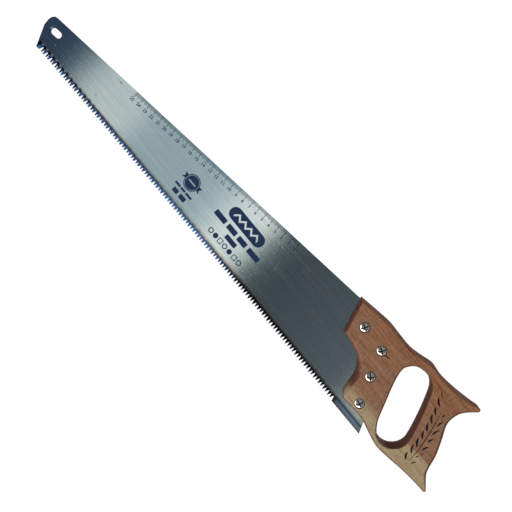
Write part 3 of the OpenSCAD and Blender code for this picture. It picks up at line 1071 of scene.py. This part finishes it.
def build_nut(i, x, y, spin, metal):
    """Flat head with a driver slot, and a sleeve with a threaded bore."""
    low, inner = 0.3, NUT_RADIUS - 0.35
    turn = np.linspace(0, 2 * math.pi, AROUND, endpoint=False) + spin
    rings = []
    for r in np.concatenate([np.linspace(0.1, inner, 30), [NUT_RADIUS - 0.3, NUT_RADIUS]]):
        wall = np.clip((0.8 - np.abs(r * np.sin(turn))) / 0.2, 0, 1)
        bevel = max(0.0, r - inner)
        rings.append(ring_at(x, y, r, low + bevel + 0.7 * wall * (1 if bevel == 0 else 0.6)))
    for r, z in ((NUT_RADIUS, NUT_SEAT - 0.2), (NUT_RADIUS - 0.2, NUT_SEAT), (3.6, NUT_SEAT),
                 (3.48, NUT_SEAT + 0.15), (3.48, SLEEVE_TOP - 0.38), (3.1, SLEEVE_TOP),
                 (2.4, SLEEVE_TOP), (2.12, SLEEVE_TOP - 0.28)):
        rings.append(ring_at(x, y, r, z))
    rings += thread(x, y, SLEEVE_TOP - 0.48, 4.2, 3, 2.05, 0.12)
    rings.append(ring_at(x, y, 2.0, 4.05))
    points, faces = skin(rings)
    nut = add_mesh(f"nut_{i}_metal", points, faces, [metal], crease=40)
    finish_fastener(nut, f"nut_{i}")


def finish_fastener(piece, node):
    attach(piece, "root")
    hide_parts(node)


def build_fasteners():
    metals = [nickel_material(), recess_material()]
    for i, ((x, y), turn) in enumerate(zip(SCREW_AT, SCREW_TURNS), 1):
        build_screw(i, x, y, math.radians(turn), metals)
        build_nut(i, x, y, math.radians(10 + 47 * i), metals[0])


# ---- prints

INK_LIFT = 0.03
INK_GAP = 0.002
SCALE_ZERO = np.array([-209.2, back_y(-209.2)])


def ink_material():
    """Navy screen print, slightly worn."""
    material, t = new_material("navy_print")
    place = t.heel_mm()
    patchy = t.noise(place, 0.8, 4.0, 0.7)
    colour = t.mix(t.smooth(patchy, 0.4, 0.75, 0.0, 0.5), srgb(26, 48, 84), srgb(48, 72, 104))
    t.surface(Base_Color=colour, Roughness=0.55, Specular_IOR_Level=0.2,
              Normal=t.bump(patchy, 0.00002, 0.4))
    return material


def decal(loops):
    """Thin raised print: the first loop filled, the others left bare."""
    loops = [np.asarray(loop, float) for loop in loops]
    flat = np.concatenate(loops)
    n = len(flat)
    points = np.concatenate([level(flat, Z_TOP + INK_LIFT), level(flat, Z_TOP + INK_GAP)])
    faces = triangles(loops)
    start = 0
    for loop in loops:
        m = len(loop)
        faces += [(start + i, n + start + i, n + start + (i + 1) % m, start + (i + 1) % m)
                  for i in range(m)]
        start += m
    return points, faces


def box_loop(x0, x1, y0, y1, corner=0.0):
    if not corner:
        return np.array([(x0, y0), (x1, y0), (x1, y1), (x0, y1)], float)
    out = []
    for cx, cy, start in ((x1 - corner, y0 + corner, -90), (x1 - corner, y1 - corner, 0),
                          (x0 + corner, y1 - corner, 90), (x0 + corner, y0 + corner, 180)):
        turn = np.radians(start + np.linspace(0, 90, 7))
        out.append(np.stack([cx + corner * np.cos(turn), cy + corner * np.sin(turn)], axis=1))
    return np.concatenate(out)


def medallion():
    """Plain disc with an inner ring and swallow-tailed ribbon ends."""
    x, y = -339.6, 36.3
    parts = [
        decal([circle(x, y, 10, 64), circle(x, y, 8.9, 64, clockwise=True)]),
        decal([circle(x, y, 8.4, 64), box_loop(x - 5.5, x + 5.5, y - 0.7, y + 0.9)[::-1]])]
    for side in (-1, 1):
        tail = np.array([(9.6, -1.8), (14.2, -3.6), (11.9, 0.2), (14.2, 3.9), (9.4, 3.4)])
        tail[:, 0] *= side
        parts.append(decal([(tail + (x, y))[::side]]))
    return parts


def caption_bars():
    """Bars in place of the lines of text."""
    rows = [(22, 24.6, (-353.3, -344.9, -343.9, -336.6, -335.6, -325.8)),
            (13.6, 19, (-349.2, -341.5, -338.6, -329.2)),
            (33.8, 40.3, (-298.3, -280.6, -277, -262.5, -259, -245.3, -241.7, -223.8)),
            (24.9, 30.6, (-269.5, -252.5))]
    return [decal([box_loop(x0, x1, y0, y1, 0.9)])
            for y0, y1, ends in rows for x0, x1 in zip(ends[::2], ends[1::2])]


def emblem():
    """Generic mark: a long rounded bar with a plain zigzag left bare in it."""
    x, y = -261.3, 52.3
    count = 9
    across = np.linspace(-20, 20, count)
    peaks = np.where(np.arange(count) % 2, 2.6, -2.6)
    upper = np.stack([x + across, y + peaks + 1.5], axis=1)
    lower = np.stack([x + across, y + peaks - 1.5], axis=1)
    return [decal([box_loop(x - 27.5, x + 27.5, y - 7.8, y + 7.8, 7.7),
                   np.concatenate([upper, lower[::-1]])])]


def icon_row():
    """Plain shapes in place of the row of marks."""
    y = 18.7
    parts = []
    for k, x in enumerate((-285, -277, -269, -261, -253, -244.5, -236.5)):
        if k % 3 == 0:
            parts.append(decal([circle(x, y, 3.3, 32), circle(x, y, 2.1, 32, clockwise=True)]))
        elif k % 3 == 1:
            parts.append(decal([circle(x, y, 3.2, 32)]))
        else:
            parts.append(decal([box_loop(x - 3, x + 3, y - 3.2, y + 3.2),
                                box_loop(x - 2.1, x + 2.1, y - 2.3, y + 2.3)[::-1]]))
    return parts


def ruler_ticks():
    """Centimetre scale along the back, with 0 towards the handle."""
    parts = []
    for k in range(251):
        length = 7.0 if k % 10 == 0 else 5.4 if k % 5 == 0 else 4.0
        aside = ALONG_BACK * (0.33 if k % 10 == 0 else 0.22)
        base = SCALE_ZERO - ALONG_BACK * k + INWARD * 0.15
        far = base + INWARD * length
        parts.append(decal([np.array([base - aside, far - aside, far + aside, base + aside])]))
    return parts


def digit_parts():
    """The scale's numbers from 0 to 25, upright with the back up."""
    parts = []
    for number in range(26):
        centre = SCALE_ZERO - ALONG_BACK * 10 * number + INWARD * 10.0
        points, faces = glyph(str(number), 3.9)
        flat = centre + points[:, :1] * ALONG_BACK - points[:, 1:] * INWARD
        parts.append((level(flat, Z_TOP + INK_LIFT), faces))
    return parts


def glyph(text, height):
    """Flat outline of a number, centred, that high in millimetres."""
    curve = bpy.data.curves.new("number", "FONT")
    curve.body = text
    curve.resolution_u = 3
    curve.offset = 0.025
    holder = add_object("number", curve)
    bpy.context.view_layer.update()
    mesh = bpy.data.meshes.new_from_object(
        holder.evaluated_get(bpy.context.evaluated_depsgraph_get()))
    points = np.array([v.co[:2] for v in mesh.vertices])
    faces = [tuple(p.vertices) for p in mesh.polygons]
    bpy.data.objects.remove(holder)
    bpy.data.curves.remove(curve)
    bpy.data.meshes.remove(mesh)
    low, high = points.min(axis=0), points.max(axis=0)
    return (points - (low + high) / 2) * height / (high[1] - low[1]), faces


def build_prints():
    ink = ink_material()
    print_parts = medallion() + caption_bars() + emblem() + icon_row()
    marks = add_mesh("blade_print", *join_parts(print_parts), [ink])
    scale = add_mesh("blade_scale", *join_parts(ruler_ticks() + digit_parts()), [ink])
    for piece in (marks, scale):
        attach(piece, "root")


# ---- studio

def build_floor():
    mesh = bpy.data.meshes.new("floor")
    side = 14.0
    mesh.from_pydata([(-side, -side, 0), (side, -side, 0), (side, side, 0), (-side, side, 0)],
                     [], [(0, 1, 2, 3)])
    material, t = new_material("floor_white")
    t.surface(Base_Color=(0.1, 0.1, 0.1), Roughness=0.9, Specular_IOR_Level=0.0,
              Emission_Color=(1, 1, 1), Emission_Strength=0.98)
    mesh.materials.append(material)
    floor = add_object("floor", mesh)


# Screen colours that the steel takes from the panels overhead, by the slope x/z of the direction
# that they lie in
OVERHEAD = [
    (-0.70, (40, 55, 75)), (-0.39, (42, 58, 78)), (-0.37, (90, 112, 122)), (-0.34, (172, 186, 186)),
    (-0.27, (182, 194, 194)), (-0.24, (140, 160, 165)), (-0.12, (144, 165, 170)), (-0.09, (165, 182, 184)),
    (-0.065, (208, 218, 217)), (-0.015, (202, 213, 209)), (-0.003, (84, 96, 100)), (0.03, (56, 66, 70)),
    (0.215, (78, 88, 93)), (0.25, (146, 152, 148)), (0.30, (150, 155, 150)), (0.36, (70, 72, 74))]


def build_world():
    """White band at the horizon, a wide softbox on the teeth's side, coloured panels overhead."""
    world = bpy.data.worlds.new("studio")
    bpy.context.scene.world = world
    t = Tree(world)
    ray = t.node("TexCoord").outputs["Generated"]
    dx, dy, dz = t.split(ray)
    rise = t.most(dz, 0.001)
    slope_x = t.ratio(dx, rise)
    slope_y = t.ratio(dy, rise)
    dome = t.ramp(dz, [
        (0.0, (1.02, 1.02, 1.02)), (0.29, (1.02, 1.02, 1.02)), (0.33, (0.22, 0.23, 0.25)),
        (0.60, (0.22, 0.23, 0.25)), (0.85, (0.35, 0.36, 0.38))])
    level_run = t.math("SQRT", t.minus(1.0, t.times(dz, dz)))
    facing = t.ratio(dy, t.most(level_run, 0.001))
    box = t.times(t.smooth(facing, -0.35, -0.6),
                 t.times(t.smooth(dz, 0.31, 0.37), t.smooth(dz, 0.62, 0.54)))
    dome = t.mix(box, dome, (5.7, 5.6, 5.45))
    low, high = -0.8, 0.5
    stops = [((slope - low) / (high - low), tuple(c / s for c, s in zip(srgb(*colour), STEEL)))
             for slope, colour in OVERHEAD]
    panels = t.ramp(t.ratio(t.minus(slope_x, low), high - low), stops)
    inside_x = t.times(t.smooth(slope_x, -0.78, -0.68), t.smooth(slope_x, 0.56, 0.46))
    inside_y = t.times(t.smooth(slope_y, -0.62, -0.5), t.smooth(slope_y, 0.42, 0.3))
    above = t.smooth(dz, 0.3, 0.5)
    share = t.times(t.times(inside_x, inside_y), above)
    background = t.node("Background", {"Color": t.mix(share, dome, panels)})
    out = t.node("OutputWorld")
    t.tree.links.new(background.outputs[0], out.inputs[0])
    bpy.context.scene.view_settings.view_transform = "Standard"


EYE = (-228.5, 142.9, 808.2)
AIM = (-229.9, 39.3, 12.45)
CAMERA_TURN = math.radians(50.114)


def build_camera():
    """Nearly straight down, turned so that the saw runs from the upper left to the lower right."""
    data = bpy.data.cameras.new("camera")
    data.lens = 50.0
    data.sensor_width = 36.0
    data.clip_start, data.clip_end = 0.01, 50.0
    camera = add_object("camera", data)
    eye = Vector(np.array(EYE) * MM + HEEL)
    aim = Vector(np.array(AIM) * MM + HEEL)
    forward = (aim - eye).normalized()
    plan = (math.cos(CAMERA_TURN), math.sin(CAMERA_TURN))
    right = Vector((*plan, -(plan[0] * forward.x + plan[1] * forward.y) / forward.z)).normalized()
    up = right.cross(forward)
    axes = Matrix((right, up, -forward)).transposed()
    camera.matrix_world = Matrix.Translation(eye) @ axes.to_4x4()
    bpy.context.scene.camera = camera


build_blade()
build_handle()
build_fasteners()
build_prints()
build_floor()
build_world()
build_camera()
